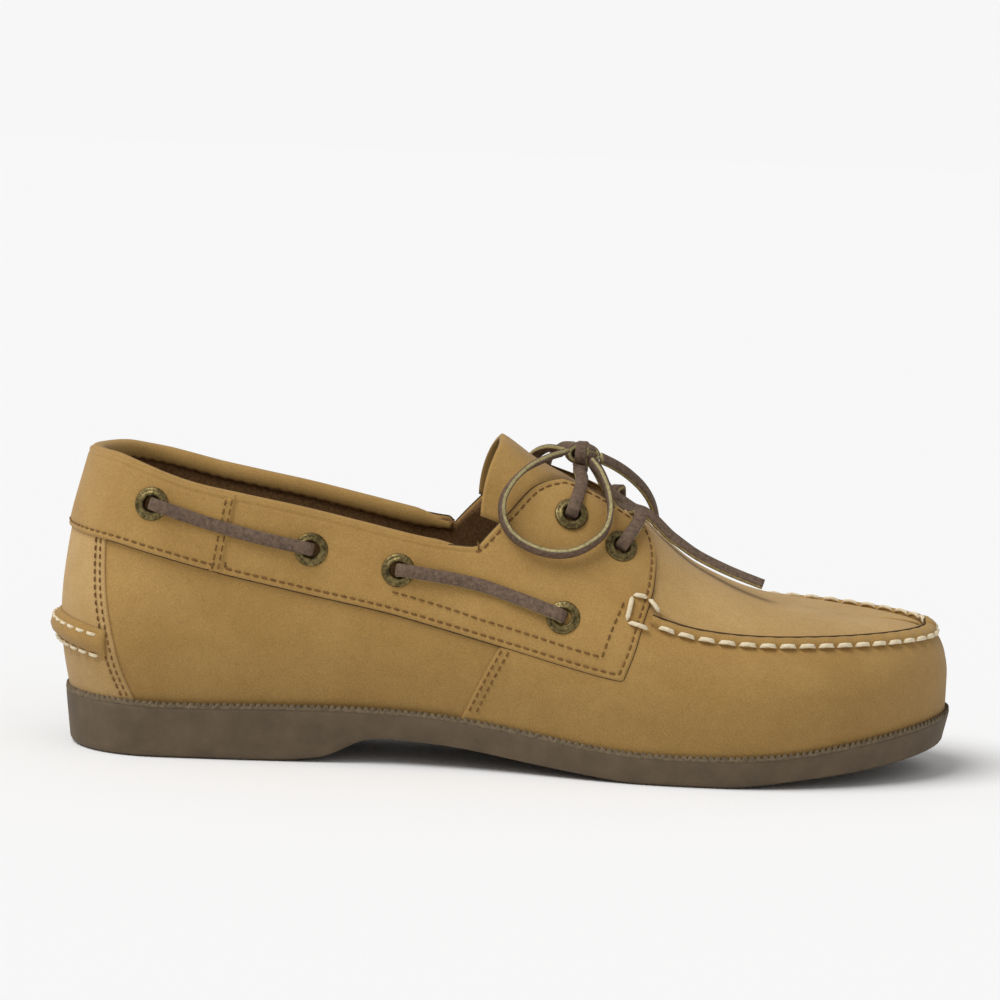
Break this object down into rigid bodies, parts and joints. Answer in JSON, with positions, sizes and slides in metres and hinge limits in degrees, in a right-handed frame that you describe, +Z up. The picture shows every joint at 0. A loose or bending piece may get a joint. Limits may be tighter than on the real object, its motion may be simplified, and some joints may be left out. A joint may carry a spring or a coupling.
{
  "type": "boat shoe",
  "caption": "Right boat shoe in tan leather with a moccasin toe, side lacing, brass eyelets and a rubber sole, tied in a bow.",
  "frame": {"origin": "centre of the heel's flat spot on the floor", "axes": "+X towards the toe, +Y towards the inner side of the foot, +Z up"},
  "size_m": [0.3041, 0.104, 0.1088],
  "materials": {
    "leather": "satin",
    "insole_leather": "matte",
    "rubber": "matte",
    "brass": "aged",
    "lace_leather": "matte"
  },
  "bodies": {
    "root": {"outsole": "rubber", "insole": "insole_leather", "upper": "leather", "tongue": "leather", "plug": "leather", "moccasin_seam": "leather", "collar_band": "leather", "eyestay_outer": "leather", "eyestay_inner": "leather", "heel_counter": "leather", "heel_strip": "leather", "eyelet_heel_outer": "brass", "eyelet_quarter_outer": "brass", "eyelet_waist_outer": "brass", "eyelet_vamp_outer": "brass", "eyelet_instep_outer": "brass", "eyelet_throat_outer": "brass", "eyelet_heel_inner": "brass", "eyelet_quarter_inner": "brass", "eyelet_waist_inner": "brass", "eyelet_vamp_inner": "brass", "eyelet_instep_inner": "brass", "eyelet_throat_inner": "brass", "lace_side_outer": "lace_leather", "lace_side_inner": "lace_leather", "lace_bar_throat": "lace_leather", "lace_bar_instep": "lace_leather", "lace_knot": "lace_leather", "lace_loop_outer": "lace_leather", "lace_loop_inner": "lace_leather"}
  },
  "joints": []
}
